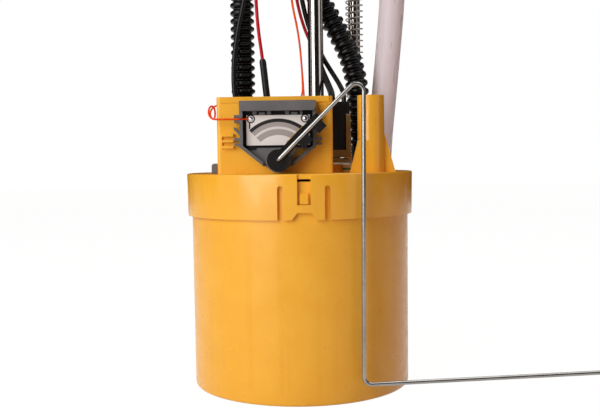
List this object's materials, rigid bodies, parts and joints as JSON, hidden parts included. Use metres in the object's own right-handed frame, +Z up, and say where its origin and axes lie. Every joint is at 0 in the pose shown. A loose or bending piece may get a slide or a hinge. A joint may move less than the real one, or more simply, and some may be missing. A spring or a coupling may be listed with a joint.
{
  "type": "fuel pump module",
  "caption": "In-tank fuel pump module: round reservoir with pump inside, level sensor with float on a bent wire, guide rods, spring, hoses and a tank flange.",
  "frame": {"origin": "centre of the reservoir's flat base", "axes": "+Z up along the reservoir's axis to the flange, -Y the level sensor's side, +X the float's side"},
  "size_m": [0.271, 0.144, 0.337],
  "materials": {
    "acetal": "satin yellow-orange acetal",
    "black_nylon": "moulded satin",
    "grey_nylon": "moulded matte",
    "natural_nylon": "natural nylon",
    "white_nylon": "moulded matte",
    "ceramic": "printed white ceramic",
    "solder": "bright solder",
    "tin": "tinned",
    "brass": "bright",
    "steel_wire": "drawn",
    "steel_plate": "plated",
    "chrome": "bright",
    "aluminium": "die cast",
    "ferrite": "sintered",
    "carbon": "pressed carbon",
    "phenolic": "moulded",
    "float_foam": "closed-cell nitrile",
    "strainer_mesh": "woven nylon",
    "rubber": "matte",
    "green_rubber": "matte",
    "black_hose": "corrugated nylon",
    "clear_tube": "translucent nylon",
    "red_pvc": "insulation",
    "black_pvc": "insulation",
    "orange_pvc": "insulation"
  },
  "bodies": {
    "reservoir": {"reservoir_cup": "acetal", "reservoir_lid": "acetal", "sensor_carrier": "acetal", "inlet_screen": "black_nylon", "umbrella_valve": "rubber", "harness_clip": "grey_nylon", "sensor_housing": "grey_nylon", "card_tray": "black_nylon", "resistor_card": "ceramic", "card_terminals": "solder", "pressure_regulator": "steel_wire", "regulator_retainer": "natural_nylon", "plug_cradle": "natural_nylon", "harness_plug": "black_nylon", "bleed_spigot": "white_nylon", "bleed_seal": "green_rubber", "lead_grommet": "rubber", "pump_can": "steel_plate", "pump_magnets": "ferrite", "pump_inlet_cover": "aluminium", "pump_chamber_plate": "aluminium", "pump_brushes": "carbon", "pump_outlet_cap": "black_nylon", "pump_isolator": "rubber", "pump_cradle": "black_nylon", "inlet_strainer": "strainer_mesh", "pump_outlet_hose": "rubber", "pump_plug": "white_nylon", "jet_pump": "black_nylon", "jet_hose": "rubber", "rod_spring": "steel_plate", "feed_hose": "black_hose", "return_hose": "black_hose", "vent_tube": "clear_tube", "pump_lead_red": "red_pvc", "pump_lead_black": "black_pvc", "plug_lead_red": "red_pvc", "plug_lead_black": "black_pvc", "sensor_lead_signal": "orange_pvc", "sensor_lead_ground": "orange_pvc"},
    "flange": {"flange_plate": "black_nylon", "tank_seal": "rubber", "feed_nipple": "steel_plate", "return_nipple": "steel_plate", "vent_nipple": "steel_plate", "connector_shell": "black_nylon", "connector_pins": "tin", "flange_plug": "black_nylon", "front_guide_rod": "chrome", "rear_guide_rod": "chrome", "rod_clips": "steel_plate"},
    "float_arm": {"arm_holder": "black_nylon", "float_wire": "steel_wire", "wiper_contacts": "brass", "float_nut": "steel_wire"},
    "float": {"float_block": "float_foam"},
    "pump_rotor": {"pump_impeller": "phenolic", "pump_shaft": "steel_wire", "pump_armature": "steel_plate"}
  },
  "joints": [
    {"name": "flange_slide", "type": "slide", "parent": "reservoir", "child": "flange", "axis": [0, 0, 1], "range_m": [-0.045, 0], "stiffness_N_per_m": 300, "springref_m": 0.04, "deforming": ["feed_hose", "return_hose", "vent_tube", "rod_spring", "pump_lead_red", "pump_lead_black", "plug_lead_red", "plug_lead_black", "sensor_lead_signal", "sensor_lead_ground"]},
    {"name": "float_arm_swing", "type": "hinge", "parent": "reservoir", "child": "float_arm", "pos_m": [-0.0099, -0.0474, 0.1148], "axis": [0, -1, 0], "range_deg": [0, 86]},
    {"name": "float_swivel", "type": "hinge", "parent": "float_arm", "child": "float", "pos_m": [0.178, -0.038, 0.01543], "axis": [0, -1, 0], "continuous": true},
    {"name": "pump_rotor_spin", "type": "hinge", "parent": "reservoir", "child": "pump_rotor", "pos_m": [-0.026, 0.002, 0.05], "axis": [0, 0, 1], "continuous": true}
  ]
}
